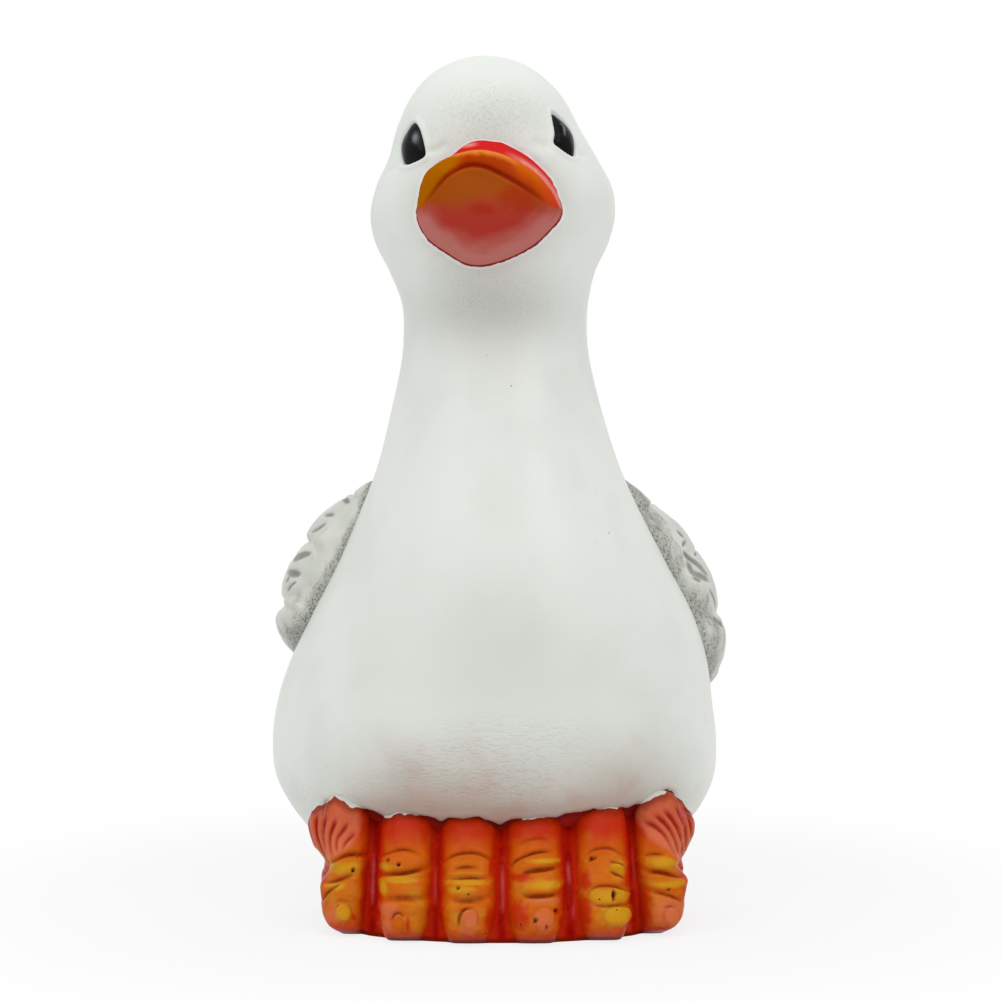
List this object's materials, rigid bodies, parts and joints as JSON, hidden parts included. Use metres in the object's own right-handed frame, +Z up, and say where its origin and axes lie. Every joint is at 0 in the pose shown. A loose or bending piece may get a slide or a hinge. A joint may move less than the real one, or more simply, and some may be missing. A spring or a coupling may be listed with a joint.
{
  "type": "duck statue",
  "caption": "Sitting duck statue cast in one piece, with a long neck, raised bill, folded wings, webbed feet and a flat base.",
  "frame": {"origin": "centre of the bounding box on the ground plane, under the duck", "axes": "+Z up along the duck's height, -Y towards the duck's bill and toes, +X to the duck's own left"},
  "size_m": [0.1104, 0.1326, 0.1994],
  "materials": {
    "white_paint": "satin",
    "grey_wash": "matte",
    "orange_paint": "gloss",
    "black_gloss": "gloss"
  },
  "bodies": {
    "root": {"duck_statue": "white_paint"}
  },
  "joints": []
}
